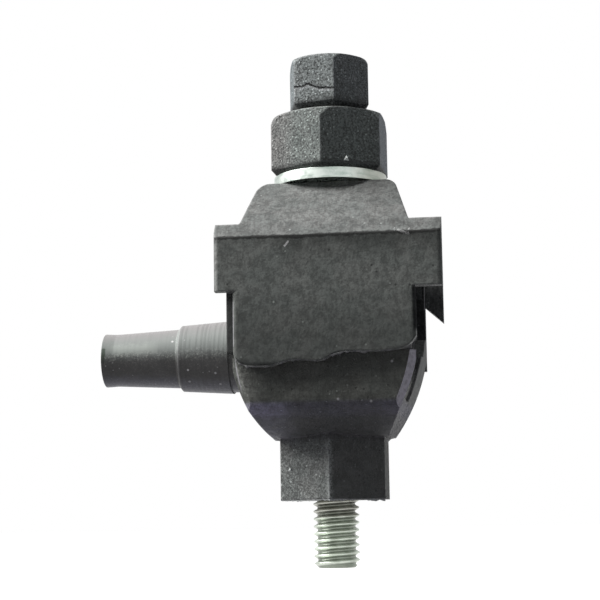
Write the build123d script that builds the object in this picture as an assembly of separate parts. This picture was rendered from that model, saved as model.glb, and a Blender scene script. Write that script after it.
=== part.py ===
from build123d import *
import math
import os

# Insulation piercing connector: two moulded halves drawn together by one bolt.
# Millimetres. X runs along the conductors, Y to the back, Z up.
# The origin is on the main conductor's axis, midway along its groove, in the parting plane.

# Conductor grooves
MAIN_R = 8.0
TAP_R = 5.5

# Bolt, nut and washer
BOLT_R = 3.9
BOLT_TAIL = 11.4
BOLT_END_CHAMFER = 0.8
BOLT_PLAY = 0.5
THREAD_PLAY = 0.05
STEEL_HEX_AF = 13.0
STEEL_HEAD_H = 5.3
NUT_H = 6.5
NUT_RECESS = 0.5
NUT_CHAMFER = 0.6
POCKET_PLAY = 0.1
WASHER_R = 9.8
WASHER_T = 1.8
WASHER_PLAY = 0.3

# Walls between the bolt hole, the grooves and the outside
TAP_WALL = 1.8
MAIN_WALL = 2.9
FRONT_LIP = 1.0
BACK_LIP = 2.0
SKIRT_T = 2.2
SKIRT_PLAY = 0.3
JAW_GAP = 0.2

# Lower half
LOWER_W = 30.8
LOWER_SWELL = 0.6
LOWER_FOOT_W = 19.6
LOWER_BELLY_W = 27.4
LOWER_BELLY_Z = -6.2
UNDERSIDE = 13.3
UNDERSIDE_ARC_R = 21.8
FLAT_AHEAD = 4.5
FLAT_BEHIND = 16.0
BACK_RISE = 3.0
BACK_LIP_TOP = -4.0
KEEL_ROUND = 2.4
FRONT_CHAMFER = 1.2
BOSS_AF = 17.6
BOSS_DROP = 23.6
LOWER_BACK_W = 26.8
SWELL_FROM = -22.0
SWELL_TO = -14.5
SWELL_END = -8.0
FLANK_TOP = 3.2
FLANK_SLANT = 3.5
FLANK_PLAY = 0.3
MOUTH_RECESS_FROM = 0.5
MOUTH_RECESS_DEPTH = 0.55
MOUTH_RECESS_FOOT = -7.8

# Upper half
CORE_LEFT = -15.5
CORE_RIGHT = 14.5
CORE_WAIST = 13.0
CORE_WAIST_FROM = -20.0
CORE_WAIST_SLANT = 2.0
CORE_SHOULDER = 19.2
CREASE = 18.7
EAR_TOP = 21.2
ROOF_TOP = 30.4
PLATEAU_L = 13.0
ROOF_BASE = 21.4
ROOF_BASE_LEFT = -13.2
ROOF_BASE_RIGHT = 14.4
ROOF_TOP_LEFT = -11.5
ROOF_TOP_RIGHT = 11.5
ROOF_CORNER_ROUND = 2.6
PLATEAU_ROUND = 1.6
BACK_CREASE = 17.0
EAR_BOTTOM = 9.9
EAR_LEFT = -17.25
EAR_RIGHT = 19.8
BACK_EAR = 18.2
BACK_EAR_BOTTOM = 9.4
BACK_EAR_RISE = 3.0
SKIRT_LEFT = -14.2
SKIRT_RIGHT = 15.4
SKIRT_CORNER = 1.9
BACK_SKIRT = 14.8
BACK_SKIRT_BOTTOM = 0.4
EDGE_ROUND = 0.8
# Ragged lower edge of the front skirt, from its left corner to its right corner
SKIRT_EDGE = [(-14.2, 0.0), (-13.1, -1.95), (-10.6, -2.45), (-8.2, -2.4), (-5.4, -1.6),
              (-3.3, -1.45), (0.7, -1.45), (1.6, -0.9), (6.3, -0.35), (11.9, -0.25),
              (13.6, 0.1), (14.8, 1.0)]

# Shear head
BIG_HEX_AF = 18.9
BIG_HEX_H = 11.0
BIG_HEX_TURN = -2.7
BIG_SHOULDER_R = 7.9
BIG_SHOULDER_H = 2.2
NECK_R = 4.4
NECK_H = 0.6
SMALL_HEX_AF = 13.0
SMALL_HEX_H = 9.5
SMALL_HEX_TURN = 12.6
SMALL_SHOULDER_R = 5.2
SMALL_SHOULDER_H = 1.5
HEX_FOOT_CHAMFER = 0.8

# Contact blades and seals
BLADE_X = 7.5
BLADE_T = 1.8
BLADE_PLAY = 0.05
TOOTH_H = 1.8
TOOTH_COUNT = 5
TOOTH_INSET = 0.1
TAP_TEETH_ANGLE = 32.0
MAIN_TEETH_ANGLE = 36.0
BLADE_BACK_TAP = 2.0
BLADE_BACK_MAIN = 1.2
BLADE_END_CHAMFER = 2.0
SEAL_T = 2.0
SEAL_HALF_L = 10.0
TAP_SEAL_ANGLE = 48.0
MAIN_SEAL_ANGLE = 50.0
SEAL_SLOT_MARGIN = 4.0

# End cap and its socket
SOCKET_R = 5.9
SOCKET_DEPTH = 3.7
CAP_PLAY = 0.1
CAP_ROOT_R = 6.05
CAP_STEP_X = -23.9
CAP_STEP_R = 5.5
CAP_NOSE_R = 4.9
CAP_WAIST_X = -35.0
CAP_WAIST_R = 4.35
CAP_END_X = -37.0
CAP_END_R = 4.45
CAP_BORE_R = 4.3
CAP_BORE_L = 10.0
CAP_NOSE_BORE_R = 3.3
CAP_END_WALL = 1.6
CAP_EDGE_ROUND = 0.5

# Places that follow from the sizes above
HOLE_R = BOLT_R + BOLT_PLAY
BOLT_Y = -(MAIN_R + MAIN_WALL + HOLE_R)
TAP_Y = BOLT_Y - (HOLE_R + TAP_WALL + TAP_R)
LOWER_FRONT = TAP_Y - TAP_R - FRONT_LIP
LOWER_BACK = MAIN_R + BACK_LIP
SKIRT_INNER = LOWER_FRONT - SKIRT_PLAY
SKIRT_FACE = SKIRT_INNER - SKIRT_T
BACK_INNER = LOWER_BACK + SKIRT_PLAY
BACK_FACE = BACK_INNER + SKIRT_T
WASHER_TOP = ROOF_TOP + WASHER_T
BIG_HEX_TOP = WASHER_TOP + BIG_HEX_H
SMALL_HEX_FOOT = BIG_HEX_TOP + NECK_H
BOLT_END = -(BOSS_DROP + BOLT_TAIL)
NUT_SEAT = -BOSS_DROP + NUT_RECESS + NUT_H
SOCKET_END = -CORE_LEFT - SOCKET_DEPTH
FLANK_INNER = CORE_WAIST + FLANK_PLAY
REACH = 60.0

GROOVES = {"tap": (TAP_Y, TAP_R, TAP_TEETH_ANGLE, TAP_SEAL_ANGLE),
           "main": (0.0, MAIN_R, MAIN_TEETH_ANGLE, MAIN_SEAL_ANGLE)}


def across(sketch, half_length=REACH):
    """A side view, drawn in Y and Z, drawn out along X."""
    return extrude(Plane.YZ * sketch, half_length, both=True)


def through(sketch, y_from, y_to):
    """A front view, drawn in X and Z, drawn out along Y."""
    return extrude(Plane.XZ.offset(-y_from) * sketch, -(y_to - y_from))


def rod_x(y, radius, x_from, x_to):
    """A cylinder along X on the parting plane."""
    return Pos((x_from + x_to) / 2, y, 0) * Rot(0, 90, 0) * Cylinder(radius, x_to - x_from)


def rod_z(radius, z_from, z_to):
    """A cylinder on the bolt's axis."""
    return Pos(0, BOLT_Y, (z_from + z_to) / 2) * Cylinder(radius, z_to - z_from)


def hexagon(flats, height, z_from, turn=0.0):
    """A hexagonal prism on the bolt's axis with a corner to the front."""
    outline = RegularPolygon(flats / math.sqrt(3), 6, rotation=90 + turn)
    return Pos(0, BOLT_Y, z_from) * extrude(outline, height)


def on_arc(y, radius, angle, half):
    """A point of a groove's side view: half is 1 above the parting plane and -1 below it."""
    turn = math.radians(angle)
    return (y + radius * math.sin(turn), half * radius * math.cos(turn))


def sector(y, inner, outer, angle, half):
    """The side view of a ring's part that lies within an angle of the vertical."""
    with BuildSketch() as sketch:
        with BuildLine():
            ThreePointArc(on_arc(y, inner, -angle, half), on_arc(y, inner, 0, half), on_arc(y, inner, angle, half))
            Line(on_arc(y, inner, angle, half), on_arc(y, outer, angle, half))
            ThreePointArc(on_arc(y, outer, angle, half), on_arc(y, outer, 0, half), on_arc(y, outer, -angle, half))
            Line(on_arc(y, outer, -angle, half), on_arc(y, inner, -angle, half))
        make_face()
    return sketch.sketch


def tooth_line(y, groove_r, angle, half):
    """Tips and roots of the teeth along a groove, from front to back."""
    tip_r = groove_r + TOOTH_INSET
    root_r = tip_r + TOOTH_H
    step = 2 * angle / TOOTH_COUNT
    points = [on_arc(y, root_r, -angle, half)]
    for tooth in range(TOOTH_COUNT):
        points.append(on_arc(y, tip_r, -angle + (tooth + 0.5) * step, half))
        points.append(on_arc(y, root_r, -angle + (tooth + 1) * step, half))
    return points


def blade_far_side(half, front_y, back_y, play=0.0):
    """The plain side of a blade's outline, from back to front, grown by a play."""
    tap_far = half * (TAP_R + TOOTH_INSET + TOOTH_H + BLADE_BACK_TAP + play)
    main_far = half * (MAIN_R + TOOTH_INSET + TOOTH_H + BLADE_BACK_MAIN + play)
    cut = BLADE_END_CHAMFER
    return [(back_y + play, main_far - half * cut), (back_y + play - cut, main_far), (BOLT_Y, main_far),
            (front_y - play + cut, tap_far), (front_y - play, tap_far - half * cut)]


def blade_teeth(half):
    """Tooth lines of a blade at both grooves."""
    return [tooth_line(y, groove_r, angle, half) for y, groove_r, angle, _ in GROOVES.values()]


def blade(half, side):
    """One contact blade. side is -1 for the left one."""
    tap_teeth, main_teeth = blade_teeth(half)
    far_side = blade_far_side(half, tap_teeth[0][0], main_teeth[-1][0])
    outline = Polygon(*tap_teeth, *main_teeth, *far_side, align=None)
    return Pos(side * BLADE_X, 0, 0) * across(outline, BLADE_T / 2)


def blade_slots(half):
    """Slots for the two blades of a half, open to the seal recesses at their teeth."""
    tap_teeth, main_teeth = blade_teeth(half)
    front, back = tap_teeth[0], main_teeth[-1]
    near_side = [(y, z - half * BLADE_PLAY) for y, z in (front, tap_teeth[-1], main_teeth[0], back)]
    near_side[0] = (front[0] - BLADE_PLAY, near_side[0][1])
    near_side[-1] = (back[0] + BLADE_PLAY, near_side[-1][1])
    far_side = blade_far_side(half, front[0], back[0], BLADE_PLAY)
    slot = across(Polygon(*near_side, *far_side, align=None), BLADE_T / 2 + BLADE_PLAY)
    return [Pos(side * BLADE_X, 0, 0) * slot for side in (-1, 1)]


def seal_recess(name, half):
    """The space of a seal beside its groove."""
    y, groove_r, _, angle = GROOVES[name]
    return across(sector(y, groove_r, groove_r + SEAL_T, angle, half), SEAL_HALF_L)


def seal(name, half):
    """A rubber pad that lines part of a groove, slit for the teeth of both blades."""
    y, groove_r, teeth_angle, _ = GROOVES[name]
    slit_angle = teeth_angle + SEAL_SLOT_MARGIN
    slit = sector(y, groove_r - 1, groove_r + SEAL_T + 1, slit_angle, half)
    pad = seal_recess(name, half)
    for side in (-1, 1):
        pad -= Pos(side * BLADE_X, 0, 0) * across(slit, BLADE_T / 2 + BLADE_PLAY)
    return pad


def cut_inside(body, half):
    """Grooves, the cap's socket, bolt hole, blade slots and seal recesses of one half."""
    for y, groove_r, _, _ in GROOVES.values():
        body -= rod_x(y, groove_r, -REACH, REACH)
    body -= rod_x(TAP_Y, SOCKET_R, -REACH, -SOCKET_END)
    body -= rod_z(HOLE_R, -REACH, REACH)
    for slot in blade_slots(half):
        body -= slot
    for name in GROOVES:
        body -= seal_recess(name, half)
    return body


def lower_side_view():
    """Side view of the lower half: a flank, a low back lip, and a keel that sweeps up to the front."""
    flat_front = BOLT_Y - FLAT_AHEAD
    flat_back = BOLT_Y + FLAT_BEHIND
    centre_z = -UNDERSIDE + UNDERSIDE_ARC_R

    def keel(y):
        return centre_z - math.sqrt(UNDERSIDE_ARC_R ** 2 - (y - flat_front) ** 2)

    half_way = (flat_front + LOWER_FRONT) / 2
    flank_front = CORE_WAIST_FROM + FLANK_PLAY
    with BuildSketch() as sketch:
        with BuildLine():
            ThreePointArc((flat_front, -UNDERSIDE), (half_way, keel(half_way)), (LOWER_FRONT, keel(LOWER_FRONT)))
            Polyline((LOWER_FRONT, keel(LOWER_FRONT)), (LOWER_FRONT, -JAW_GAP / 2), (flank_front, -JAW_GAP / 2),
                     (flank_front + FLANK_SLANT, FLANK_TOP), (SWELL_END - FLANK_SLANT, FLANK_TOP),
                     (SWELL_END, -JAW_GAP / 2), (0, -JAW_GAP / 2), (0, BACK_LIP_TOP), (LOWER_BACK, BACK_LIP_TOP),
                     (LOWER_BACK, -UNDERSIDE + BACK_RISE), (flat_back, -UNDERSIDE), (flat_front, -UNDERSIDE))
        make_face()
    keel_corner = sketch.sketch.vertices().filter_by_position(Axis.X, LOWER_FRONT - 0.1, LOWER_FRONT + 0.1)
    return fillet(keel_corner.sort_by(Axis.Y)[0], KEEL_ROUND)


def lower_front_view(inset=0.0):
    """Front view of the lower half: sides that curve in towards the boss."""
    top = LOWER_W / 2 - inset
    belly = LOWER_BELLY_W / 2 - inset
    foot = LOWER_FOOT_W / 2 - inset
    with BuildSketch() as sketch:
        with BuildLine():
            Polyline((-top, 0), (-top, FLANK_TOP), (top, FLANK_TOP), (top, 0))
            ThreePointArc((top, 0), (belly, LOWER_BELLY_Z), (foot, -UNDERSIDE))
            Line((foot, -UNDERSIDE), (-foot, -UNDERSIDE))
            ThreePointArc((-foot, -UNDERSIDE), (-belly, LOWER_BELLY_Z), (-top, 0))
        make_face()
    return sketch.sketch


def mouth_recess():
    """A shallow recess in both sides of the lower half, round the mouths of the tap groove."""
    band = lower_front_view() - lower_front_view(MOUTH_RECESS_DEPTH)
    band -= Pos(0, MOUTH_RECESS_FOOT - REACH / 2) * Rectangle(2 * REACH, REACH)
    return through(band, LOWER_FRONT + FRONT_CHAMFER + MOUTH_RECESS_FROM, SWELL_FROM)


def lower_block():
    """The lower half seen from the front, wider at the bolt and narrower at the back."""
    back_inset = (LOWER_W - LOWER_BACK_W) / 2
    insets = {LOWER_FRONT: FRONT_CHAMFER, LOWER_FRONT + FRONT_CHAMFER: 0.0, SWELL_FROM: 0.0,
              SWELL_TO: -LOWER_SWELL, SWELL_END: back_inset, LOWER_BACK: back_inset}
    views = [Plane.XZ.offset(-y) * lower_front_view(inset) for y, inset in insets.items()]
    return loft(views, ruled=True)


def lower_body():
    """The lower moulding, with the boss that holds the nut."""
    body = across(lower_side_view()) & lower_block()
    body -= Pos(0, 0, -JAW_GAP / 2) * extrude(Rectangle(2 * FLANK_INNER, 2 * REACH), REACH)
    body -= mouth_recess()
    body += hexagon(BOSS_AF, BOSS_DROP - UNDERSIDE + 1.5, -BOSS_DROP)
    body = cut_inside(body, -1)
    body -= hexagon(STEEL_HEX_AF + 2 * POCKET_PLAY, NUT_SEAT + BOSS_DROP, -BOSS_DROP)
    return body


def upper_side_view():
    """Side view of the upper half: roof, and a skirt over each lip of the lower half."""
    low = min(z for _, z in SKIRT_EDGE)
    outline = Polygon((SKIRT_FACE, low), (SKIRT_FACE, CREASE), (SKIRT_INNER, EAR_TOP),
                      (BOLT_Y - PLATEAU_L / 2, ROOF_TOP), (BOLT_Y + PLATEAU_L / 2, ROOF_TOP),
                      (BACK_FACE, BACK_CREASE), (BACK_FACE, BACK_SKIRT_BOTTOM), (BACK_INNER, BACK_SKIRT_BOTTOM),
                      (BACK_INNER, JAW_GAP / 2), (SKIRT_INNER, JAW_GAP / 2), (SKIRT_INNER, low), align=None)
    return fillet(outline.vertices().group_by(Axis.Y)[-1], PLATEAU_ROUND)


def core_front_view():
    """Front view of the block between the skirts, with the roof above its shoulders."""
    half = -CORE_LEFT
    outline = Polygon((-half, 0), (half, 0), (half, CORE_SHOULDER), (ROOF_BASE_RIGHT, ROOF_BASE),
                      (ROOF_TOP_RIGHT, ROOF_TOP), (ROOF_TOP_LEFT, ROOF_TOP), (ROOF_BASE_LEFT, ROOF_BASE),
                      (-half, CORE_SHOULDER), align=None)
    return fillet(outline.vertices().group_by(Axis.Y)[-1], ROOF_CORNER_ROUND)


def core_top_view():
    """The block between the skirts seen from above, with a waist beside the bolt and the main groove."""
    slant_from = CORE_WAIST_FROM - CORE_WAIST_SLANT
    return Polygon((CORE_LEFT, SKIRT_INNER), (CORE_RIGHT, SKIRT_INNER), (CORE_RIGHT, slant_from),
                   (CORE_WAIST, CORE_WAIST_FROM), (CORE_WAIST, BACK_INNER), (-CORE_WAIST, BACK_INNER),
                   (-CORE_WAIST, CORE_WAIST_FROM), (CORE_LEFT, slant_from), align=None)


def front_plate_view():
    """Front view of the front plate: two ears, and the skirt with its ragged lower edge."""
    with BuildSketch() as sketch:
        with BuildLine():
            Spline(*SKIRT_EDGE)
            Polyline(SKIRT_EDGE[-1], (SKIRT_RIGHT, SKIRT_CORNER), (SKIRT_RIGHT, EAR_BOTTOM),
                     (EAR_RIGHT, EAR_BOTTOM), (EAR_RIGHT, ROOF_TOP), (EAR_LEFT, ROOF_TOP),
                     (EAR_LEFT, EAR_BOTTOM), (SKIRT_LEFT, EAR_BOTTOM), SKIRT_EDGE[0])
        make_face()
    return sketch.sketch


def back_plate_view():
    """Front view of the back plate: ears with slanting lower edges, and a straight skirt."""
    right = [(BACK_SKIRT, BACK_SKIRT_BOTTOM), (BACK_SKIRT, BACK_EAR_BOTTOM + BACK_EAR_RISE),
             (BACK_EAR, BACK_EAR_BOTTOM), (BACK_EAR, ROOF_TOP)]
    left = [(-x, z) for x, z in reversed(right)]
    return Polygon(*right, *left, align=None)


def upper_body():
    """The upper moulding."""
    side = across(upper_side_view())
    core = side & through(core_front_view(), SKIRT_INNER, BACK_INNER)
    core -= extrude(Rectangle(2 * REACH, 2 * REACH) - core_top_view(), CORE_SHOULDER)
    front = side & through(front_plate_view(), SKIRT_FACE, SKIRT_INNER)
    back = side & through(back_plate_view(), BACK_INNER, BACK_FACE)
    ear_corners = front.edges().filter_by(Axis.Z).filter_by_position(Axis.Y, SKIRT_FACE - 0.1, SKIRT_FACE + 0.1)
    front = fillet(ear_corners, EDGE_ROUND)
    return cut_inside(core + front + back, 1)


def moulded_hexagon(flats, height, shoulder_r, shoulder_h, z_from, turn):
    """One step of the head: a hexagon with a shoulder turned in two steps and a chamfered foot."""
    corner_r = flats / math.sqrt(3)
    mid = math.sqrt(0.5)
    middle = (shoulder_r + (corner_r - shoulder_r) * mid, height - shoulder_h * (1 - mid))
    outline = Polygon((0, 0), (corner_r, 0), (corner_r, height - shoulder_h), middle, (shoulder_r, height),
                      (0, height), align=None)
    block = chamfer(hexagon(flats, height, z_from, turn).edges().group_by(Axis.Z)[0], HEX_FOOT_CHAMFER)
    return block & Pos(0, BOLT_Y, z_from) * revolve(Plane.XZ * outline, Axis.Z)


def shear_head():
    """Two hexagons moulded in one, joined by the neck that breaks."""
    big = moulded_hexagon(BIG_HEX_AF, BIG_HEX_H, BIG_SHOULDER_R, BIG_SHOULDER_H, WASHER_TOP, BIG_HEX_TURN)
    small = moulded_hexagon(SMALL_HEX_AF, SMALL_HEX_H, SMALL_SHOULDER_R, SMALL_SHOULDER_H, SMALL_HEX_FOOT,
                            SMALL_HEX_TURN)
    head = big + rod_z(NECK_R, BIG_HEX_TOP - 1, SMALL_HEX_FOOT + 1) + small
    return head - hexagon(STEEL_HEX_AF, STEEL_HEAD_H, WASHER_TOP, BIG_HEX_TURN)


def bolt():
    """Steel bolt: its own hexagon head sits inside the moulded head."""
    shank = rod_z(BOLT_R, BOLT_END, WASHER_TOP)
    shank = chamfer(shank.edges().sort_by(Axis.Z)[0], BOLT_END_CHAMFER)
    return shank + hexagon(STEEL_HEX_AF, STEEL_HEAD_H, WASHER_TOP, BIG_HEX_TURN)


def washer():
    """Plain washer under the head."""
    return rod_z(WASHER_R, ROOF_TOP, WASHER_TOP) - rod_z(BOLT_R + WASHER_PLAY, ROOF_TOP, WASHER_TOP)


def nut():
    """Captive nut in the boss, up against the end of its pocket."""
    block = hexagon(STEEL_HEX_AF, NUT_H, NUT_SEAT - NUT_H)
    block &= rod_z(STEEL_HEX_AF / math.sqrt(3) - NUT_CHAMFER / 2, NUT_SEAT - NUT_H, NUT_SEAT)
    return block - rod_z(BOLT_R + THREAD_PLAY, -REACH, 0)


def end_cap():
    """Stepped rubber cap that closes the tap groove's left end."""
    mouth = -SOCKET_END - CAP_PLAY
    face = CORE_LEFT
    plug_r = SOCKET_R - CAP_PLAY
    step_back = CAP_STEP_X - CAP_EDGE_ROUND
    bore_end = mouth - CAP_BORE_L
    nose_end = CAP_END_X + CAP_END_WALL
    with BuildSketch() as sketch:
        with BuildLine():
            Polyline((CAP_END_X, 0), (CAP_END_X, CAP_END_R), (CAP_WAIST_X, CAP_WAIST_R), (step_back, CAP_NOSE_R),
                     (CAP_STEP_X, CAP_STEP_R), (face, CAP_ROOT_R), (face, plug_r), (mouth, plug_r),
                     (mouth, CAP_BORE_R), (bore_end, CAP_BORE_R), (bore_end, CAP_NOSE_BORE_R),
                     (nose_end, CAP_NOSE_BORE_R), (nose_end, 0), (CAP_END_X, 0))
        make_face()
    return Pos(0, TAP_Y, 0) * revolve(sketch.sketch, Axis.X)


HALVES = {"upper": 1, "lower": -1}
SIDES = {"left": -1, "right": 1}

pieces = {"upper_body": upper_body(), "lower_body": lower_body(), "shear_head": shear_head(),
          "bolt": bolt(), "washer": washer(), "nut": nut(), "end_cap": end_cap()}
for half_name, half in HALVES.items():
    for side_name, side in SIDES.items():
        pieces[f"blade_{half_name}_{side_name}"] = blade(half, side)
    for groove_name in GROOVES:
        pieces[f"seal_{half_name}_{groove_name}"] = seal(groove_name, half)

os.makedirs("parts", exist_ok=True)
for name, piece in pieces.items():
    export_step(piece, f"parts/{name}.step")
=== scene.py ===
import math
import random

import bmesh
import bpy
from mathutils import Matrix, Vector


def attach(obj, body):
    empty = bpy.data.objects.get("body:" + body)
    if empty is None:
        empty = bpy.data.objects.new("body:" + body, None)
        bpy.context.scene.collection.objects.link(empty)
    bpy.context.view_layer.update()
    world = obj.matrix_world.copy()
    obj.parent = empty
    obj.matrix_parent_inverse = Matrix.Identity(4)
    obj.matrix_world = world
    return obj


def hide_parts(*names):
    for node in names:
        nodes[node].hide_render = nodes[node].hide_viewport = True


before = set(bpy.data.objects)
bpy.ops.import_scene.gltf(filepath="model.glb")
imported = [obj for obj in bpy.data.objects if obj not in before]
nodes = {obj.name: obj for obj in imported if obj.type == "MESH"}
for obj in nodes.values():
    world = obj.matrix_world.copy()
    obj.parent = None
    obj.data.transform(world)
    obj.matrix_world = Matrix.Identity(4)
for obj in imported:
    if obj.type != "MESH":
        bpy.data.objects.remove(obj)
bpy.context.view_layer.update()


# Sizes and places on the object. Lengths are in millimetres and angles in degrees

MM = 0.001
BOLT_Y = -15.3
BOLT_END = -35.0
BOLT_TIP_RADIUS = 3.05
TIP_SLOPE = 1.1
THREAD_PITCH = 1.25
THREAD_OUTER = 3.9
THREAD_ROOT = 3.22
THREAD_CREST_Z = -24.95
THREAD_TOP = 5.0
WASHER_TOP = 32.2
STEEL_HEX_FLATS = 13.0
STEEL_HEX_HEIGHT = 5.3
HEX_TURN = -2.7
SHANK_IN_HEAD = 1.0

HEX_STEP = 43.8
PLATE_FACE = -36.0
PLATE_TOP = 18.7
BACK_PLATE_FACE = 10.3
BOSS_HALF_FLATS = 8.8
BOSS_FOOT = -23.6
BOSS_TOP = -13.3
CAP_STEP = -23.9

FLOOR_Z = -62.0
FLOOR_HALF_WIDTH = 20000.0


# Camera, fitted to the photo

CAMERA_PLACE = (28.662, -292.426, -28.062)
CAMERA_YAW = 7.064
CAMERA_PITCH = 7.953
CAMERA_ROLL = 0.87
SENSOR_WIDTH = 36.0
FOCAL_LENGTH = 97.43


def add_camera():
    yaw, pitch, roll = (math.radians(angle) for angle in (CAMERA_YAW, CAMERA_PITCH, CAMERA_ROLL))
    ahead = Vector((-math.sin(yaw) * math.cos(pitch), math.cos(yaw) * math.cos(pitch), math.sin(pitch)))
    right = ahead.cross(Vector((0, 0, 1))).normalized()
    up = right.cross(ahead)
    rolled_right = math.cos(roll) * right - math.sin(roll) * up
    rolled_up = math.sin(roll) * right + math.cos(roll) * up
    data = bpy.data.cameras.new("camera")
    data.sensor_width = SENSOR_WIDTH
    data.lens = FOCAL_LENGTH
    data.clip_start = 0.01
    data.clip_end = 50.0
    camera = bpy.data.objects.new("camera", data)
    bpy.context.scene.collection.objects.link(camera)
    matrix = Matrix((rolled_right, rolled_up, -ahead)).transposed().to_4x4()
    matrix.translation = Vector(CAMERA_PLACE) * MM
    camera.matrix_world = matrix
    bpy.context.scene.camera = camera


# Materials: a short way to write nodes

PLAIN_SHINE = 0.2


class Nodes:
    """One material. Masks go from 0 to 1, and places and sizes are in millimetres on the piece itself."""

    def __init__(self, name):
        self.material = bpy.data.materials.new(name)
        self.material.use_nodes = True
        self.tree = self.material.node_tree
        self.tree.nodes.clear()
        self.out = self.tree.nodes.new("ShaderNodeOutputMaterial")
        self.shine = PLAIN_SHINE

    def add(self, kind, inputs=None, **settings):
        node = self.tree.nodes.new("ShaderNode" + kind)
        for key, value in settings.items():
            setattr(node, key, value)
        for key, value in (inputs or {}).items():
            self.put(node, key, value)
        return node

    def put(self, node, key, value):
        socket = node.inputs[key]
        if isinstance(value, bpy.types.NodeSocket):
            self.tree.links.new(value, socket)
        elif isinstance(value, bpy.types.Node):
            self.tree.links.new(value.outputs[0], socket)
        else:
            socket.default_value = value

    def coords(self, scale=(1, 1, 1), offset=(0, 0, 0)):
        """The place on the piece, times a scale."""
        place = self.add("TexCoord")
        return self.add("Mapping", {"Vector": place.outputs["Object"], "Location": offset,
                                    "Scale": [s / MM for s in scale]})

    def place(self, axis):
        """The place on the piece along one axis."""
        return self.add("SeparateXYZ", {"Vector": self.coords()}).outputs[axis]

    def normal(self, axis):
        """How much the surface faces one axis, from -1 to 1."""
        return self.add("SeparateXYZ", {"Vector": self.add("TexCoord").outputs["Normal"]}).outputs[axis]

    def noise(self, size, detail=3.0, rough=0.55, stretch=(1, 1, 1), distortion=0.0):
        """Noise whose features are about size wide, and longer along an axis with a small stretch value."""
        place = self.coords([s / size for s in stretch])
        return self.add("TexNoise", {"Vector": place, "Scale": 1.0, "Detail": detail, "Roughness": rough,
                                     "Distortion": distortion}).outputs["Fac"]

    def math(self, operation, a, b=0.0, clamp=False):
        return self.add("Math", {0: a, 1: b}, operation=operation, use_clamp=clamp).outputs[0]

    def vector(self, operation, a, b=(0, 0, 0)):
        node = self.add("VectorMath", {0: a, 1: b}, operation=operation)
        return node.outputs["Value"] if operation in ("DOT_PRODUCT", "LENGTH") else node.outputs["Vector"]

    def wavering(self, value, amount, size, detail=3.0, rough=0.6):
        """A value that noise moves up and down by half the amount."""
        wave = self.math("SUBTRACT", self.noise(size, detail, rough), 0.5)
        return self.math("ADD", value, self.math("MULTIPLY", wave, amount))

    def product(self, *masks):
        total = masks[0]
        for mask in masks[1:]:
            total = self.math("MULTIPLY", total, mask)
        return total

    def weighted(self, *pairs):
        """The sum of values times weights."""
        total = None
        for value, weight in pairs:
            part = self.math("MULTIPLY", value, weight)
            total = part if total is None else self.math("ADD", total, part)
        return total

    def ramp(self, value, low, high, to_low=0.0, to_high=1.0):
        return self.add("MapRange", {"Value": value, "From Min": low, "From Max": high, "To Min": to_low,
                                     "To Max": to_high}, interpolation_type="SMOOTHSTEP").outputs["Result"]

    def along(self, axis, low, high):
        """Goes from 0 to 1 between two places on an axis."""
        return self.ramp(self.place(axis), low, high)

    def facing(self, axis, low, high):
        """Goes from 0 to 1 as the surface turns towards an axis of the piece."""
        return self.ramp(self.normal(axis), low, high)

    def mix(self, factor, a, b, kind="MIX"):
        """Mixes two colours. The node keeps them in inputs 6 and 7, and their mix in output 2."""
        node = self.add("Mix", data_type="RGBA", blend_type=kind)
        for index, value in ((0, factor), (6, a), (7, b)):
            self.put(node, index, value)
        return node.outputs[2]

    def painted(self, mask, color, paint, strength):
        """Covers a colour with another one where the mask is 1, as far as the strength says."""
        return self.mix(self.math("MULTIPLY", mask, strength), color, paint)

    def tinted(self, mask, color, tint):
        """Multiplies a colour by a tint where the mask is 1. The tint is one number or three."""
        tint = (tint,) * 3 if isinstance(tint, float) else tint
        return self.mix(mask, color, (*tint, 1.0), "MULTIPLY")

    def specks(self, size, amount, offset=(0, 0, 0), edge=(0.16, 0.05)):
        """Small scattered spots, in a share of cells of one size."""
        place = self.coords([1 / size] * 3, offset)
        cells = self.add("TexVoronoi", {"Vector": place, "Scale": 1.0, "Randomness": 1.0})
        near = self.ramp(cells.outputs["Distance"], *edge)
        chance = self.add("SeparateColor", {"Color": cells.outputs["Color"]})
        chosen = self.math("LESS_THAN", chance.outputs[0], amount)
        return self.math("MULTIPLY", near, chosen)

    def spots(self, points, radius):
        """Spots round given points."""
        total = None
        for point in points:
            away = self.vector("LENGTH", self.vector("SUBTRACT", self.coords(), point))
            spot = self.ramp(away, radius, radius * 0.4)
            total = spot if total is None else self.math("MAXIMUM", total, spot)
        return total

    def stroke(self, points, half_width, ragged=0.0, ragged_size=0.8):
        """A line through given points, with a ragged edge."""
        place = self.coords()
        if ragged:
            inputs = {"Vector": self.coords([1 / ragged_size] * 3), "Scale": 1.0, "Detail": 2.0}
            wave = self.add("TexNoise", inputs).outputs["Color"]
            shift = self.vector("SUBTRACT", wave, (0.5, 0.5, 0.5))
            place = self.vector("ADD", place, self.vector("MULTIPLY", shift, (ragged, ragged, ragged)))
        total = None
        for a, b in zip(points, points[1:]):
            run = Vector(b) - Vector(a)
            from_a = self.vector("SUBTRACT", place, a)
            part = self.vector("DOT_PRODUCT", from_a, tuple(run / run.length_squared))
            part = self.math("ADD", part, 0.0, clamp=True)
            foot = self.add("VectorMath", {0: tuple(run), "Scale": part}, operation="SCALE")
            away = self.vector("LENGTH", self.vector("SUBTRACT", from_a, foot.outputs["Vector"]))
            total = away if total is None else self.math("MINIMUM", total, away)
        return self.ramp(total, half_width, half_width * 0.4)

    def bump(self, height, distance, normal=None):
        inputs = {"Height": height, "Distance": distance * MM, "Strength": 1.0}
        if normal is not None:
            inputs["Normal"] = normal
        return self.add("Bump", inputs).outputs["Normal"]

    def soft_edges(self, radius):
        return self.add("Bevel", {"Radius": radius * MM}, samples=6).outputs["Normal"]

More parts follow.
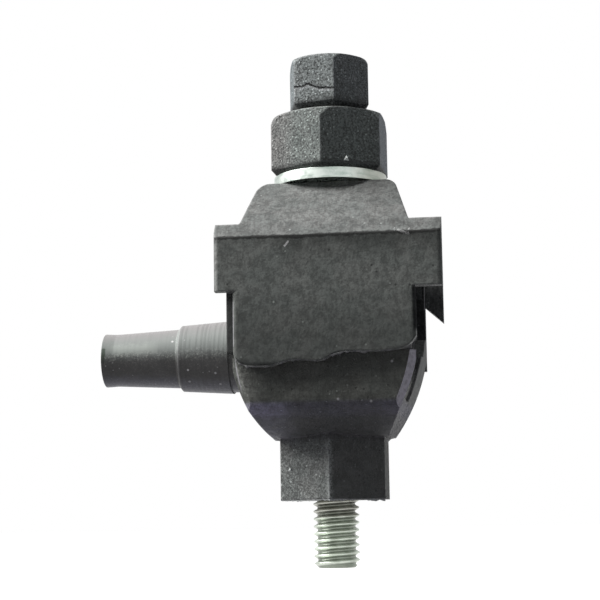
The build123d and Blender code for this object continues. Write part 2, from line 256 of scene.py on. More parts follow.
    def finish(self, color, roughness, normal, metallic=0.0, specular=0.5):
        shader = self.add("BsdfPrincipled", {"Base Color": color, "Roughness": roughness, "Normal": normal,
                                             "Metallic": metallic, "Specular IOR Level": specular})
        self.tree.links.new(shader.outputs[0], self.out.inputs["Surface"])
        return self.material


def grey(value, tint=(1.0, 1.0, 1.0)):
    return (value * tint[0], value * tint[1], value * tint[2], 1.0)


GREEN_TINT = (0.94, 1.0, 0.97)
LILAC_TINT = (1.0, 0.98, 1.04)


# Materials: moulded plastic

def moulded_plastic(name, dark, light, grain_size, grain_depth, sparkle, grit=0.62, edge=0.35, marks=()):
    """Glass-filled black plastic: a gritty skin with bright grains, faint clouds and a little dust.

    grit is the grain's share of the pattern, and sparkle the share of cells with a bright grain.
    """
    n = Nodes(name)
    cloud = n.noise(5.0)
    mottle = n.noise(1.5, 3.0, 0.6, distortion=0.5)
    grain = n.noise(grain_size, 2.0, 0.7)
    streak = n.noise(0.45, 2.0, 0.5, stretch=(1.0, 1.0, 0.2))
    tone = n.ramp(n.weighted((grain, grit), (mottle, 0.85 - grit), (streak, 0.15)), 0.39, 0.61)
    color = n.mix(tone, grey(dark, GREEN_TINT), grey(light, GREEN_TINT))
    color = n.tinted(n.ramp(cloud, 0.40, 0.62), color, (1.16, 1.13, 1.13))
    grains = n.specks(grain_size * 1.6, sparkle, edge=(0.36, 0.16))
    color = n.painted(grains, color, grey(light * 2.4, GREEN_TINT), 0.7)
    pits = n.specks(grain_size * 1.8, sparkle * 0.8, offset=(1.7, 4.1, 2.9), edge=(0.36, 0.16))
    color = n.tinted(pits, color, 0.35)
    dust = n.specks(1.7, 0.018, offset=(3.1, 0.7, 5.2))
    color = n.painted(dust, color, grey(0.42), 0.7)
    rounded = n.soft_edges(edge)
    # Rounded edges are painted lighter: wear together with a painted highlight
    flat = n.add("NewGeometry").outputs["True Normal"]
    worn_and_lit_edges = n.ramp(n.vector("DOT_PRODUCT", rounded, flat), 0.985, 0.9)
    worn_and_lit_edges = n.product(worn_and_lit_edges, n.ramp(n.noise(0.8, 3.0, 0.6), 0.34, 0.55), 0.7)
    color = n.mix(worn_and_lit_edges, color, grey(light * 1.9))
    for mark in marks:
        color = mark(n, color)
    rough = n.ramp(grain, 0.3, 0.7, 0.5, 0.8)
    height = n.weighted((mottle, 0.4), (grain, 0.6), (streak, 0.1), (pits, -0.25), (grains, 0.2))
    return n.finish(color, rough, n.bump(height, grain_depth, rounded), specular=n.shine)


# Materials: marks, painted light and painted shade on the upper half

def on_plate(*points):
    """Points on the plate's face, from their X and Z."""
    return [(x, PLATE_FACE, z) for x, z in points]


CREASE = on_plate((-17.3, 18.68), (-11.1, 18.61), (-3.0, 18.47), (5.2, 18.66), (13.2, 18.68), (14.0, 18.49),
                  (19.8, 18.76))
BURRS = on_plate((12.6, 19.2), (14.4, 18.3))
SCRATCH = on_plate((-5.5, 16.98), (-4.96, 17.64))
BACK_PLATE_EDGE = ((14.66, BACK_PLATE_FACE, 11.9), (14.72, BACK_PLATE_FACE, 16.2))
SKIRT_LEFT_EDGE = ((-14.12, -35.6, 8.0), (-14.12, -35.6, 1.0))


def plate_face(n):
    """Mask of the plate's face below its top."""
    return n.product(n.along("Y", PLATE_FACE + 0.8, PLATE_FACE + 0.2),
                     n.along("Z", PLATE_TOP + 0.2, PLATE_TOP - 0.2))


def plate_marks(n, color):
    """A darker plate, with a darker cloudy patch near its top."""
    color = n.tinted(plate_face(n), color, (0.84, 0.86, 0.83))
    dark_patch = n.product(plate_face(n), n.along("Z", 13.5, 18.0), n.along("X", -9.0, -4.0),
                      n.ramp(n.noise(3.0), 0.32, 0.55))
    return n.tinted(dark_patch, color, 0.5)


def roof_marks(n, color):
    """Upright streaks, and a darker right side."""
    roof = n.along("Z", PLATE_TOP, PLATE_TOP + 1.5)
    upright = n.ramp(n.noise(0.35, 2.0, 0.6, stretch=(1.0, 0.3, 0.12)), 0.42, 0.62)
    color = n.tinted(n.product(roof, upright), color, (0.82, 0.80, 0.80))
    return n.tinted(n.product(roof, n.along("X", 4.0, 12.0)), color, 0.86)


def crease_marks(n, color):
    """A dark crease with pale burrs, and a scratch below it."""
    color = n.tinted(n.stroke(CREASE, 0.5, 0.8, 0.9), color, 0.2)
    color = n.painted(n.stroke(BURRS, 0.3, 1.2, 0.4), color, grey(0.4), 0.7)
    return n.painted(n.stroke(SCRATCH, 0.22, 0.25, 0.5), color, grey(0.6), 0.85)


def plate_painted_shade(n, color):
    """Painted shade: the plate gets darker towards its skirt and towards the crease."""
    # Painted shade, darker towards the skirt and towards the crease
    color = n.tinted(n.product(plate_face(n), n.along("Z", 11.0, 2.0)), color, 0.61)
    return n.tinted(n.product(plate_face(n), n.along("Z", 16.6, 18.0)), color, 0.84)


def left_ear_painted_light(n, color):
    """A painted highlight on the rounded edge of the left ear, and a darker side of the ear."""
    strip = n.product(n.along("X", -16.0, -16.2), n.along("Y", -34.0, -34.5), n.along("Z", 9.7, 10.1))
    # A painted highlight where the rounded edge faces the light
    color = n.tinted(n.product(strip, n.facing("X", -0.05, -0.2)), color, (1.5, 1.44, 1.48))
    return n.tinted(n.product(strip, n.facing("X", -0.65, -0.95)), color, 0.5)


def right_side_painted_shade(n, color):
    """Painted shade on a dull back plate, darkest in its shaded part, with a painted highlight along its
    edge, and painted shade on a dull right side of the front plate.
    """
    ear = n.product(n.along("Y", 9.6, 10.1), n.facing("Y", -0.6, -0.9), n.along("X", 13.0, 13.3))
    # Painted shade on the back plate and the right side, and a painted highlight along the back plate's
    # edge
    color = n.tinted(ear, color, 0.75)
    shaded = n.math("MAXIMUM", n.along("Z", 14.1, 13.7), n.along("X", 14.2, 14.3))
    color = n.tinted(n.product(ear, n.along("X", 14.68, 14.6), shaded), color, 0.45)
    color = n.painted(n.stroke(BACK_PLATE_EDGE, 0.1), color, grey(0.6), 0.8)
    side = n.product(n.along("X", 14.6, 14.9), n.facing("X", 0.25, 0.5), n.along("Y", -33.0, -34.0),
                     n.along("Z", 2.2, 3.2), n.along("X", 16.5, 16.0))
    color = n.tinted(side, color, 0.7)
    n.shine = n.ramp(n.math("MAXIMUM", ear, side), 0.0, 1.0, PLAIN_SHINE, 0.0)
    return color


def flank_painted_shade(n, color):
    """Painted shade on the flanks beside the skirt, and a painted highlight along the left edge of the
    skirt.
    """
    low = n.product(n.along("Z", 9.95, 9.6), n.along("Y", -20.0, -25.0))
    right_flank = n.product(n.along("X", 14.3, 14.45), n.along("Y", -33.5, -33.0))
    flanks = n.math("MAXIMUM", n.along("X", -14.0, -14.4), right_flank)
    # Painted shade on the flanks under the ears, beside the skirt
    color = n.tinted(n.product(low, flanks), color, 0.3)
    return n.painted(n.stroke(SKIRT_LEFT_EDGE, 0.25, 0.15, 0.6), color, grey(0.45, LILAC_TINT), 0.45)


UPPER_MARKS = (plate_marks, roof_marks, crease_marks, plate_painted_shade, left_ear_painted_light, right_side_painted_shade,
               flank_painted_shade)


# Materials: marks, painted light and painted shade on the lower half

LOWER_LEFT_EDGE = ((-14.1, -33.2, -1.0), (-13.96, -33.09, -3.0), (-13.59, -32.91, -4.8),
                   (-13.1, -32.55, -7.1))
LOWER_DUST = ((2.47, -33.5, -7.84), (7.77, -33.3, -8.29), (11.28, -33.5, -1.96))


def lower_front_marks(n, color):
    """Painted shade that darkens the front, faint swirls on it, and a painted highlight on the gritty left
    edge.
    """
    front = n.product(n.along("Z", -8.6, -7.6), n.along("Y", -20.0, -28.0))
    # The front is painted darker: painted shade under the skirt
    color = n.tinted(front, color, (0.69, 0.69, 0.65))
    swirl = n.add("TexWave", {"Vector": n.coords((0.22, 0.22, 0.55)), "Scale": 1.0, "Distortion": 9.0,
                              "Detail": 2.0, "Detail Scale": 1.2}, wave_type="RINGS").outputs["Fac"]
    color = n.tinted(n.product(front, n.ramp(swirl, 0.45, 0.75)), color, 0.84)
    # The left edge is painted lighter: a painted highlight on gritty plastic
    lit_left_edge = n.product(n.along("X", -9.4, -13.2), n.along("Z", -7.6, -6.2), n.along("Z", 0.5, -0.5),
                     n.ramp(n.noise(0.4, 3.0, 0.7), 0.42, 0.58))
    return n.tinted(lit_left_edge, color, 1.7)


def belly_painted_light(n, color):
    """Painted light on the slopes above the boss: a violet painted reflection from below, painted light
    brightest at the left, and painted shade darkest in the middle.
    """
    belly = n.product(n.along("Z", -7.7, -8.5), n.along("Z", -14.5, -13.0))
    color = n.tinted(belly, color, (0.75, 0.73, 0.79))
    # Painted light: left-facing slopes lit from the left, violet reflected light from below, and shade in
    # the middle
    lit_left_slope = n.product(belly, n.facing("X", -0.2, -0.5), n.ramp(n.noise(1.0, 3.0, 0.7), 0.3, 0.55))
    color = n.tinted(lit_left_slope, color, 1.5)
    color = n.tinted(n.product(belly, n.along("Z", -10.9, -9.6)), color, (1.55, 1.53, 1.72))
    violet_light = n.product(belly, n.along("X", -4.0, -9.5), n.facing("X", -0.4, -0.1),
                       n.ramp(n.noise(0.7, 3.0, 0.7), 0.3, 0.6, 0.6, 1.0))
    color = n.tinted(violet_light, color, (1.9, 1.87, 2.05))
    color = n.tinted(n.product(belly, n.along("X", -7.5, -4.0)), color, (0.62, 0.62, 0.61))
    return n.tinted(n.product(belly, n.along("X", 8.0, 11.0)), color, (1.2, 1.2, 1.25))


def lower_edge_painted_light(n, color):
    """A pale chamfer at the right, painted with light from the bright surroundings, and a painted highlight
    along the left edge.
    """
    # Painted light on the chamfer, and a painted highlight on the left edge
    chamfer = n.product(n.facing("X", 0.3, 0.55), n.facing("Y", -0.3, -0.55), n.along("Z", -12.6, -12.0),
                        n.ramp(n.noise(0.9, 3.0, 0.6), 0.3, 0.6, 0.6, 0.95))
    color = n.mix(chamfer, color, grey(0.85, (0.99, 0.97, 1.04)))
    rim_highlight = n.stroke(LOWER_LEFT_EDGE, 0.22, 0.15, 0.6)
    return n.painted(n.product(rim_highlight, n.along("Z", -7.0, -4.5)), color, grey(0.5, LILAC_TINT), 0.55)


def boss_painted_light(n, color):
    """Painted light and shade: a gritty left face painted lighter, darker and dull right faces painted in
    shade, and a pale corner between them.
    """
    boss = n.along("Z", BOSS_TOP, BOSS_TOP - 1.2)
    # Painted shade on the right faces, and painted light on the grit of the left face
    color = n.tinted(n.product(boss, n.facing("X", 0.2, 0.4)), color, 0.72)
    far = n.product(boss, n.facing("X", 0.7, 0.9))
    color = n.tinted(far, color, 0.7)
    n.shine = n.ramp(far, 0.0, 1.0, PLAIN_SHINE, 0.08)
    lit_grit = n.product(boss, n.along("X", 1.0, 0.3), n.ramp(n.noise(0.3, 3.0, 0.9), 0.45, 0.64))
    color = n.tinted(lit_grit, color, (2.9, 2.95, 2.9))
    corner = n.product(boss, n.along("X", -0.9, -0.2), n.along("X", 0.6, 0.1), n.along("Y", -24.0, -25.0),
                       n.ramp(n.noise(0.35, 3.0, 0.7), 0.42, 0.58))
    return n.painted(corner, color, grey(0.5, GREEN_TINT), 0.8)


def lower_dust_marks(n, color):
    """Three bright grains of dust."""
    return n.painted(n.spots(LOWER_DUST, 0.3), color, grey(0.6), 0.8)


LOWER_MARKS = (lower_front_marks, belly_painted_light, lower_edge_painted_light, boss_painted_light, lower_dust_marks)


# Materials: marks, painted light and painted shade on the head

CRACK = ((-6.3, -20.14, 47.75), (-5.53, -20.38, 47.61), (-4.08, -20.83, 47.45), (-3.35, -21.06, 47.8),
         (-2.8, -21.23, 47.77), (-1.55, -21.63, 47.1), (-0.84, -21.85, 46.9), (1.49, -22.58, 46.6))
CRACK_PIT = (-6.71, -20.01, 48.66)
LIP_DROP = 0.4


def crack_shade_and_highlight(n, color):
    """Painted shade in the crack, a dark pit above its left end, and a painted highlight on the lip below
    the crack.
    """
    lip = [(x, y, z - LIP_DROP) for x, y, z in CRACK]
    # A painted highlight on the lip, and painted shade inside the crack
    color = n.painted(n.stroke(lip, 0.26, 0.5), color, grey(0.42), 0.35)
    color = n.tinted(n.stroke(CRACK, 0.3, 0.75, 0.45), color, 0.05)
    return n.tinted(n.spots((CRACK_PIT,), 0.4), color, 0.2)


def hexagon_foot_painted_shade(n, color):
    """Painted shade on the uneven feet of both hexagons."""
    height = n.wavering(n.place("Z"), 1.6, 1.2, 2.0, 0.5)
    for foot, top in ((WASHER_TOP, 34.1), (HEX_STEP, 45.9)):
        # Painted shade at each hexagon's foot
        mask = n.product(n.ramp(height, top, foot + 0.7), n.ramp(height, foot - 0.9, foot - 0.4))
        color = n.tinted(mask, color, 0.42)
    return color


def hexagon_painted_light(n, color):
    """Painted light and shade: the cast of each face that the photo shows."""
    lower = n.along("Z", HEX_STEP - 0.4, HEX_STEP - 0.8)
    upper = n.along("Z", HEX_STEP, HEX_STEP + 0.4)
    color = n.tinted(n.product(lower, n.along("X", -5.0, -9.0)), color, (1.0, 0.95, 0.96))
    front = n.product(lower, n.facing("Y", -0.3, -0.5), n.along("X", -7.0, -4.5))
    color = n.tinted(front, color, (0.9, 0.95, 0.94))
    # Bluish painted light on the right faces, and painted shade on the left faces of the upper hexagon
    color = n.tinted(n.product(lower, n.facing("X", 0.7, 0.9)), color, (1.35, 1.42, 1.62))
    color = n.tinted(n.product(upper, n.facing("X", -0.7, -0.9)), color, (0.66, 0.69, 0.72))
    color = n.tinted(n.along("Z", HEX_STEP, HEX_STEP - 0.4), color, (0.88, 0.89, 0.88))
    return n.tinted(upper, color, (1.1, 1.14, 1.16))


HEAD_MARKS = (crack_shade_and_highlight, hexagon_foot_painted_shade, hexagon_painted_light)


# Materials: rubber and metal

CAP_DUST = ((-22.24, -32.07, -2.37), (-22.24, -30.75, -4.16), (-17.69, -32.09, -2.99),
            (-17.13, -30.65, -4.68), (-25.0, -31.19, 2.48))
CAP_MOUTH_MARK = ((-36.6, -31.3, 1.4), (-36.7, -31.4, -0.6))


def cap_rubber_material(name):
    """Smooth rubber with rings from its mould. Its upper side is painted lighter, partly fine dust and
    partly painted light, its underside has a bluish painted reflection, and painted highlights run along
    the top and round the step.
    """
    n = Nodes(name)
    fine = n.noise(0.25, 2.0, 0.5)
    rings = n.noise(0.4, 2.0, 0.5, stretch=(1.0, 0.02, 0.02))
    root = n.along("X", CAP_STEP - 0.3, CAP_STEP + 0.3)
    up = n.wavering(n.normal("Z"), 0.35, 0.6, 3.0, 0.8)
    color = n.mix(n.ramp(n.noise(3.0), 0.35, 0.65), grey(0.03), grey(0.05))
    # Painted light from above with fine dust on the upper side, and a bluish painted reflection from below
    # on the underside
    color = n.mix(n.ramp(up, -0.2, 0.32), color, grey(0.25, (0.95, 1.03, 0.98)))
    color = n.mix(n.ramp(up, 0.45, 0.95), color, grey(0.27, (1.02, 0.99, 0.99)))
    color = n.mix(n.ramp(up, -0.55, -0.98), color, grey(0.13, (0.92, 0.95, 1.12)))
    lines = n.product(n.ramp(rings, 0.5, 0.6), n.ramp(root, 0.0, 1.0, 0.25, 1.0))
    color = n.tinted(lines, color, 0.82)
    # A painted highlight along the top
    streak = n.product(n.ramp(up, -0.05, 0.2), n.ramp(up, 0.62, 0.35), n.along("X", -26.5, -29.5),
                       n.along("X", -37.2, -33.8))
    color = n.tinted(streak, color, (1.45, 1.45, 1.42))
    grit = n.product(n.ramp(up, 0.3, 0.0), n.ramp(n.noise(0.3, 2.0, 0.8), 0.5, 0.66))
    color = n.tinted(grit, color, (1.9, 1.85, 1.8))
    # A painted highlight round the rim of the step
    rim_highlight = n.product(n.along("X", CAP_STEP - 0.15, CAP_STEP), n.along("X", CAP_STEP + 0.3, CAP_STEP + 0.1))
    color = n.painted(rim_highlight, color, grey(0.4), 0.25)
    dust = n.math("MAXIMUM", n.specks(1.1, 0.3), n.specks(0.6, 0.2, offset=(2.2, 5.1, 3.4)))
    color = n.painted(dust, color, grey(0.4), 0.6)
    color = n.painted(n.spots(CAP_DUST, 0.26), color, grey(0.75), 0.85)
    color = n.tinted(n.stroke(CAP_MOUTH_MARK, 0.45, 0.5), color, (0.3, 0.36, 0.3))
    height = n.weighted((fine, 0.5), (n.product(rings, root), 1.0))
    rough = n.ramp(fine, 0.3, 0.7, 0.4, 0.55)
    return n.finish(color, rough, n.bump(height, 0.02, n.soft_edges(0.2)), specular=0.3)


def pad_rubber_material(name):
    """Plain dull rubber."""
    n = Nodes(name)
    fine = n.noise(0.5, 3.0, 0.5)
    color = n.mix(fine, grey(0.02), grey(0.045))
    return n.finish(color, n.ramp(fine, 0.3, 0.7, 0.6, 0.8), n.bump(fine, 0.03, n.soft_edges(0.2)))


def plated_metal(name, color_a, color_b, rough_low, rough_high, marks=()):
    """Plating: slightly clouded, with fine scratches."""
    n = Nodes(name)
    cloud = n.noise(1.8, 4.0, 0.6)
    scratch = n.noise(0.3, 2.0, 0.5, stretch=(1.0, 0.15, 1.0))
    color = n.mix(n.ramp(cloud, 0.35, 0.65), (*color_a, 1.0), (*color_b, 1.0))
    for mark in marks:
        color = mark(n, color)
    rough = n.ramp(cloud, 0.3, 0.7, rough_low, rough_high)
    return n.finish(color, rough, n.bump(scratch, 0.015, n.soft_edges(0.12)), metallic=1.0)


def washer_marks(n, color):
    """A brownish right end, and faint lines along the edge."""
    line = n.ramp(n.noise(0.5, 2.0, 0.5, stretch=(0.15, 0.15, 1.0)), 0.45, 0.65)
    color = n.tinted(line, color, (0.78, 0.82, 0.80))
    return n.tinted(n.ramp(n.wavering(n.place("X"), 4.0, 1.5), 3.0, 8.5), color, (0.58, 0.56, 0.53))


def thread_painted_shade(n, color):
    """Grey painted shade in the thread's roots, and painted shade on the thread just below the boss."""
    away = n.vector("LENGTH", n.coords((1, 1, 0), (0, -BOLT_Y, 0)))
    # Painted shade in the roots and under the boss
    root = n.ramp(n.wavering(away, 0.3, 0.8), THREAD_ROOT + 0.4, THREAD_ROOT)
    color = n.tinted(root, color, (0.42, 0.43, 0.41))
    return n.tinted(n.along("Z", -27.4, -25.4), color, (0.72, 0.67, 0.69))


# Bolt

AROUND = 64
ROWS_PER_TURN = 12
MERGE_DISTANCE = 1e-7


def new_piece(name, verts, faces, material, body, smooth=True):
    mesh = bpy.data.meshes.new(name)
    mesh.from_pydata([Vector(v) * MM for v in verts], [], faces)
    mesh.validate()
    mesh.polygons.foreach_set("use_smooth", [smooth] * len(mesh.polygons))
    mesh.materials.append(material)
    piece = bpy.data.objects.new(name, mesh)
    bpy.context.scene.collection.objects.link(piece)
    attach(piece, body)
    return piece


def merge_close_points(mesh):
    """Joins points that lie on each other, which also clears faces without an area."""
    work = bmesh.new()
    work.from_mesh(mesh)
    bmesh.ops.remove_doubles(work, verts=work.verts, dist=MERGE_DISTANCE)
    work.to_mesh(mesh)
    work.free()


def ring(radius, z, count=AROUND, start=0.0):
    """Points of a circle or polygon round the bolt's axis. start is in degrees."""
    turns = [math.radians(start) + 2 * math.pi * k / count for k in range(count)]
    return [(radius * math.cos(turn), BOLT_Y + radius * math.sin(turn), z) for turn in turns]


def wall(low, high, count=AROUND):
    """Faces between two rings. low and high are the numbers of their first points."""
    return [(low + k, low + (k + 1) % count, high + (k + 1) % count, high + k) for k in range(count)]


def thread_radius(pitches):
    """Radius of the thread at a number of pitches from a crest."""
    crest_end, root_start = 0.14, 0.74
    across = abs((pitches + 0.5) % 1.0 - 0.5) * 2
    if across < crest_end:
        return THREAD_OUTER
    if across > root_start:
        return THREAD_ROOT
    return THREAD_OUTER - (THREAD_OUTER - THREAD_ROOT) * (across - crest_end) / (root_start - crest_end)


def thread_surface():
    """The thread: rows of points that climb as a helix. Points past either end are moved onto it."""
    step = THREAD_PITCH / ROWS_PER_TURN
    first = math.floor((BOLT_END - THREAD_CREST_Z) / step) - ROWS_PER_TURN - 1
    last = math.ceil((THREAD_TOP - THREAD_CREST_Z) / step) + 2
    verts, faces = [], []
    for row in range(first, last + 1):
        for side in range(AROUND):
            turn = 2 * math.pi * side / AROUND
            z = max(BOLT_END, THREAD_CREST_Z + row * step + THREAD_PITCH * side / AROUND)
            r = min(thread_radius(row / ROWS_PER_TURN), BOLT_TIP_RADIUS + (z - BOLT_END) * TIP_SLOPE)
            if z > THREAD_TOP:
                z, r = THREAD_TOP, THREAD_OUTER
            verts.append((r * math.cos(turn), BOLT_Y + r * math.sin(turn), z))
    for row in range(last - first):
        for side in range(AROUND):
            a = row * AROUND + side
            b = a + 1 if side < AROUND - 1 else (row + ROWS_PER_TURN) * AROUND
            if b + AROUND < len(verts):
                faces.append((a, b, b + AROUND, a + AROUND))
    return verts, faces


def add_bolt(material):
    """The bolt with its right-hand thread, its plain shank and the steel hexagon in the moulded head."""
    verts, faces = thread_surface()
    tip = len(verts)
    verts.append((0, BOLT_Y, BOLT_END))
    verts += ring(BOLT_TIP_RADIUS, BOLT_END)
    faces += [(tip, tip + 1 + (k + 1) % AROUND, tip + 1 + k) for k in range(AROUND)]
    low = len(verts)
    high = low + AROUND
    verts += ring(THREAD_OUTER, THREAD_TOP) + ring(THREAD_OUTER, WASHER_TOP + SHANK_IN_HEAD)
    faces.append(tuple(high + k for k in range(AROUND)))
    faces += wall(low, high)
    low = len(verts)
    high = low + 6
    for z in (WASHER_TOP, WASHER_TOP + STEEL_HEX_HEIGHT):
        verts += ring(STEEL_HEX_FLATS / math.sqrt(3), z, 6, 90 + HEX_TURN)
    faces += wall(low, high, 6)
    faces.append(tuple(low + k for k in reversed(range(6))))
    faces.append(tuple(high + k for k in range(6)))
    piece = new_piece("threaded_bolt", verts, faces, material, "bolt_and_head")
    merge_close_points(piece.data)
    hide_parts("bolt")


# Flash and chips. Tall teeth get rarer as FLASH_PEAKS grows, and steps get softer as FLASH_JUMP falls

SKIRT_FOOT = ((-13.9, -0.9), (-13.1, -1.95), (-11.9, -2.33), (-10.6, -2.45), (-9.4, -2.46), (-8.2, -2.4),
              (-6.8, -2.0), (-5.4, -1.6), (-4.4, -1.46), (-3.3, -1.45), (-1.3, -1.52), (0.2, -1.5),
              (0.7, -1.42), (1.6, -0.9), (3.9, -0.4), (6.3, -0.35), (9.0, -0.33), (11.9, -0.25),
              (13.0, -0.1))
CREASE_FLASH = ((12.2, 18.75), (14.8, 18.62))
FLASH_FOOT = 0.06
FLASH_PEAKS = 2.5
FLASH_JUMP = 0.6
CHIP_FOOT = 0.05
CHIP_CORNERS = ((-0.5, -0.4), (0.6, -0.45), (0.15, 0.6))


def add_flash(name, path, material, body, out, depth, low, high, step, seed):
    """A thin ragged fin along an edge. It stands out by low to high, and its foot is in the body."""
    rng = random.Random(seed)
    points = []
    for a, b in zip(path, path[1:]):
        a, b = Vector(a), Vector(b)
        count = max(1, round((b - a).length / step))
        points += [a.lerp(b, k / count) for k in range(count)]
    points.append(Vector(path[-1]))
    out, depth = Vector(out), Vector(depth)
    level, verts, faces = 0.0, [], []
    for point in points:
        level += (rng.random() ** FLASH_PEAKS - level) * FLASH_JUMP
        reach = low + (high - low) * level
        foot = point - out * FLASH_FOOT
        verts += [foot, point + out * reach + depth * 0.5, foot + depth]
    for a in range(0, len(verts) - 3, 3):
        b = a + 3
        faces += [(a, b, b + 1, a + 1), (a + 1, b + 1, b + 2, a + 2), (a + 2, b + 2, b, a)]
    end = len(verts) - 3
    faces += [(0, 1, 2), (end + 2, end + 1, end)]
    piece = new_piece(name, verts, faces, material, body, smooth=False)


def add_chip(name, material, body, center, normal, size, height, lean):
    """A small loose flake that sticks on a face. Its height and lean are shares of its size."""
    center, normal = Vector(center), Vector(normal).normalized()
    side = Vector((0, 0, 1)).cross(normal).normalized()
    up = normal.cross(side)
    verts = [center + side * size * x + up * size * z - normal * CHIP_FOOT for x, z in CHIP_CORNERS]
    verts.append(center + normal * size * height + side * size * lean)
    faces = [(0, 1, 3), (1, 2, 3), (2, 0, 3), (2, 1, 0)]
    piece = new_piece(name, verts, faces, material, body, smooth=False)


def add_flashes_and_chips():
    just_inside = 0.997
    corner_radius = BOSS_HALF_FLATS / math.cos(math.pi / 6) * just_inside
    boss_path = ring(corner_radius, BOSS_FOOT, 6, 210)[:3]
    skirt_path = [(x, PLATE_FACE + 0.05, z) for x, z in SKIRT_FOOT]
    crease_path = [(x, PLATE_FACE + 0.15, z) for x, z in CREASE_FLASH]
    add_flash("boss_flash", boss_path, flash_plastic, "lower_half",
              out=(0, 0, -1), depth=(0.0, 0.12, 0.0), low=0.1, high=0.5, step=0.35, seed=3)
    add_flash("skirt_flash", skirt_path, skirt_plastic, "upper_half",
              out=(0, 0, -1), depth=(0.0, 0.2, 0.0), low=0.0, high=0.75, step=0.42, seed=8)
    add_flash("crease_flash", crease_path, flash_plastic, "upper_half",
              out=(0.0, -0.1, 1.0), depth=(0.0, 0.12, 0.05), low=0.02, high=0.7, step=0.16, seed=2)
    add_chip("head_chip", chip_plastic, "bolt_and_head",
             center=(3.6, -24.08, 33.75), normal=(0.459, -0.889, 0), size=1.0, height=0.45, lean=0.2)
    add_chip("boss_chip", chip_plastic, "lower_half",
             center=(-7.15, -21.33, -18.55), normal=(-0.5, -0.866, 0), size=0.75, height=0.3, lean=0.5)


# Cracked head

CRACK_FACE_NORMAL = Vector((-0.299, -0.954, 0.0)).normalized()
CRACK_DEPTH = 0.35
CRACK_LEAD_IN = 0.3
CRACK_STEP = 0.35
CRACK_WANDER = 0.17
CRACK_HALF_WIDTHS = (0.1, 0.24)
CRACK_END_HALF_WIDTH = 0.02
SHARP_ANGLE = 12


def crack_cutter():
    """A ragged wedge along the crack. Its thin edge is inside the head."""
    rng = random.Random(5)
    line = []
    for a, b in zip(CRACK, CRACK[1:]):
        a, b = Vector(a), Vector(b)
        count = max(2, round((b - a).length / CRACK_STEP))
        line += [a.lerp(b, k / count) + Vector((0, 0, rng.uniform(-CRACK_WANDER, CRACK_WANDER)))
                 for k in range(count)]
    line.append(Vector(CRACK[-1]))
    work = bmesh.new()
    rows = []
    for k, point in enumerate(line):
        half = rng.uniform(*CRACK_HALF_WIDTHS) if 0 < k < len(line) - 1 else CRACK_END_HALF_WIDTH
        corners = ((CRACK_LEAD_IN, half), (-CRACK_DEPTH, 0.0), (CRACK_LEAD_IN, -half))
        rows.append([work.verts.new((point + CRACK_FACE_NORMAL * out + Vector((0, 0, z))) * MM)
                     for out, z in corners])
    for a, b in zip(rows, rows[1:]):
        for i, j in ((0, 1), (1, 2), (2, 0)):
            work.faces.new((a[i], a[j], b[j], b[i]))
    work.faces.new(rows[0][::-1])
    work.faces.new(rows[-1])
    bmesh.ops.recalc_face_normals(work, faces=work.faces)
    mesh = bpy.data.meshes.new("crack_cutter")
    work.to_mesh(mesh)
    work.free()
    cutter = bpy.data.objects.new("crack_cutter", mesh)
    bpy.context.scene.collection.objects.link(cutter)
    return cutter


def add_cracked_head(material):
    """The moulded head with the open crack across one face of its upper hexagon."""
    cutter = crack_cutter()
    head = bpy.data.objects.new("cracked_head", nodes["shear_head"].data.copy())
    bpy.context.scene.collection.objects.link(head)
    cut = head.modifiers.new("cut", "BOOLEAN")
    cut.operation = "DIFFERENCE"
    cut.solver = "EXACT"
    cut.object = cutter
    mesh = bpy.data.meshes.new_from_object(head.evaluated_get(bpy.context.evaluated_depsgraph_get()))
    head.modifiers.clear()
    mesh.set_sharp_from_angle(angle=math.radians(SHARP_ANGLE))
    # Sloping faces are smooth, and upright and level ones are flat
    upright, level = 0.02, 0.98
    for face in mesh.polygons:
        face.use_smooth = upright < abs(face.normal.z) < level
    mesh.name = "cracked_head"
    mesh.materials.clear()
    mesh.materials.append(material)
    head.data = mesh
    bpy.data.objects.remove(cutter)
    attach(head, "bolt_and_head")
    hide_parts("shear_head")


# Floor, world and light

def add_floor():
    """White paper to the camera and in reflections, and dark paper to all other light."""
    half, z = FLOOR_HALF_WIDTH * MM, FLOOR_Z * MM
    mesh = bpy.data.meshes.new("floor")
    corners = [(-half, -half, z), (half, -half, z), (half, half, z), (-half, half, z)]
    mesh.from_pydata(corners, [], [(0, 1, 2, 3)])
    n = Nodes("floor_paper")
    fine = n.noise(8.0, 2.0, 0.5)
    path = n.add("LightPath")
    seen = n.math("MAXIMUM", path.outputs["Is Camera Ray"], path.outputs["Is Glossy Ray"])
    seen = n.math("MAXIMUM", seen, path.outputs["Is Transmission Ray"])
    paper = n.mix(fine, grey(0.86), grey(0.9))
    color = n.mix(seen, grey(0.12, (0.9, 0.88, 1.0)), paper)
    n.finish(color, 0.9, n.bump(fine, 0.01), specular=0.0)
    mesh.materials.append(n.material)
    floor = bpy.data.objects.new("floor", mesh)
    bpy.context.scene.collection.objects.link(floor)


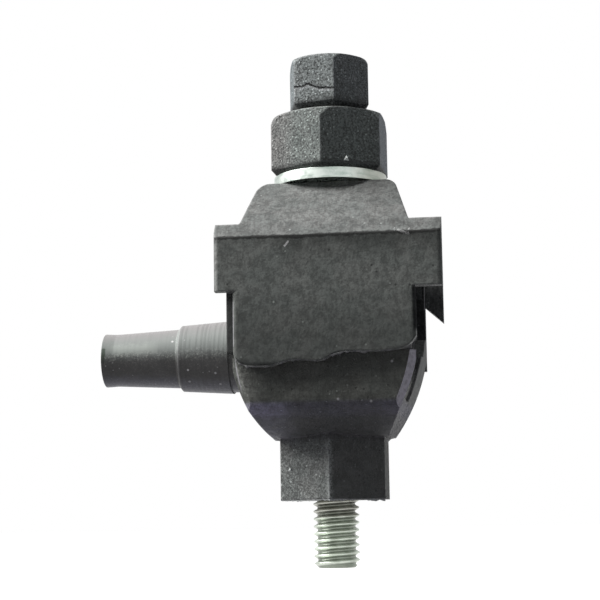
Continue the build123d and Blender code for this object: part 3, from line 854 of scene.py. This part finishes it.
def add_world():
    """White to the camera and in reflections, and a faint cool room to all other light."""
    world = bpy.data.worlds.new("studio")
    bpy.context.scene.world = world
    world.use_nodes = True
    tree = world.node_tree
    tree.nodes.clear()
    link = tree.links.new

    def background(color, strength):
        node = tree.nodes.new("ShaderNodeBackground")
        node.inputs["Color"].default_value = color
        node.inputs["Strength"].default_value = strength
        return node.outputs[0]

    def larger(a, b):
        node = tree.nodes.new("ShaderNodeMath")
        node.operation = "MAXIMUM"
        link(a, node.inputs[0])
        link(b, node.inputs[1])
        return node.outputs[0]

    path = tree.nodes.new("ShaderNodeLightPath")
    seen = larger(path.outputs["Is Camera Ray"], path.outputs["Is Glossy Ray"])
    seen = larger(seen, path.outputs["Is Transmission Ray"])
    mix = tree.nodes.new("ShaderNodeMixShader")
    link(seen, mix.inputs[0])
    link(background((0.92, 0.94, 1.0, 1.0), 0.1), mix.inputs[1])
    link(background((1.0, 1.0, 1.0, 1.0), 1.0), mix.inputs[2])
    out = tree.nodes.new("ShaderNodeOutputWorld")
    link(mix.outputs[0], out.inputs["Surface"])


def add_sun(name, toward, strength, spread, color):
    """A lamp far away. toward points from the object to the lamp."""
    data = bpy.data.lights.new(name, "SUN")
    data.energy = strength
    data.angle = math.radians(spread)
    data.color = color
    lamp = bpy.data.objects.new(name, data)
    bpy.context.scene.collection.objects.link(lamp)
    lamp.rotation_euler = Vector(toward).to_track_quat("Z", "Y").to_euler()


add_camera()
add_world()
add_floor()
add_sun("key", toward=(-0.70, -0.14, 0.70), strength=6.6, spread=50, color=(1.0, 0.99, 0.98))

upper_plastic = moulded_plastic("upper_plastic", dark=0.095, light=0.205, grain_size=0.42, grain_depth=0.10,
                                sparkle=0.02, grit=0.4, edge=0.45, marks=UPPER_MARKS)
lower_plastic = moulded_plastic("lower_plastic", dark=0.07, light=0.175, grain_size=0.36, grain_depth=0.12,
                                sparkle=0.08, grit=0.5, edge=0.45, marks=LOWER_MARKS)
head_plastic = moulded_plastic("head_plastic", dark=0.05, light=0.265, grain_size=0.35, grain_depth=0.18,
                               sparkle=0.45, grit=0.78, edge=0.6, marks=HEAD_MARKS)
skirt_plastic = moulded_plastic("skirt_plastic", dark=0.12, light=0.26, grain_size=0.3, grain_depth=0.05,
                                sparkle=0.0)
flash_plastic = moulded_plastic("flash_plastic", dark=0.4, light=0.65, grain_size=0.3, grain_depth=0.03,
                                sparkle=0.0, edge=0.05)
chip_plastic = moulded_plastic("pale_dust", dark=0.75, light=0.9, grain_size=0.2, grain_depth=0.01,
                               sparkle=0.0, edge=0.03)
washer_zinc = plated_metal("bright_zinc", (0.50, 0.56, 0.52), (0.62, 0.67, 0.63),
                           rough_low=0.25, rough_high=0.4, marks=(washer_marks,))
bolt_zinc = plated_metal("bolt_zinc", (0.44, 0.48, 0.42), (0.58, 0.63, 0.56),
                         rough_low=0.28, rough_high=0.45, marks=(thread_painted_shade,))
blade_tin = plated_metal("tin", (0.6, 0.6, 0.57), (0.7, 0.69, 0.66), rough_low=0.3, rough_high=0.5)
cap_rubber = cap_rubber_material("cap_rubber")
pad_rubber = pad_rubber_material("pad_rubber")

FINISHES = {"upper_body": upper_plastic, "lower_body": lower_plastic, "shear_head": head_plastic,
            "washer": washer_zinc, "bolt": bolt_zinc, "nut": bolt_zinc, "end_cap": cap_rubber}
for name, node in nodes.items():
    finish = FINISHES.get(name) or (blade_tin if name.startswith("blade") else pad_rubber)
    node.data.materials.clear()
    node.data.materials.append(finish)

add_bolt(bolt_zinc)
add_cracked_head(head_plastic)
add_flashes_and_chips()

bpy.context.scene.view_settings.view_transform = "Standard"
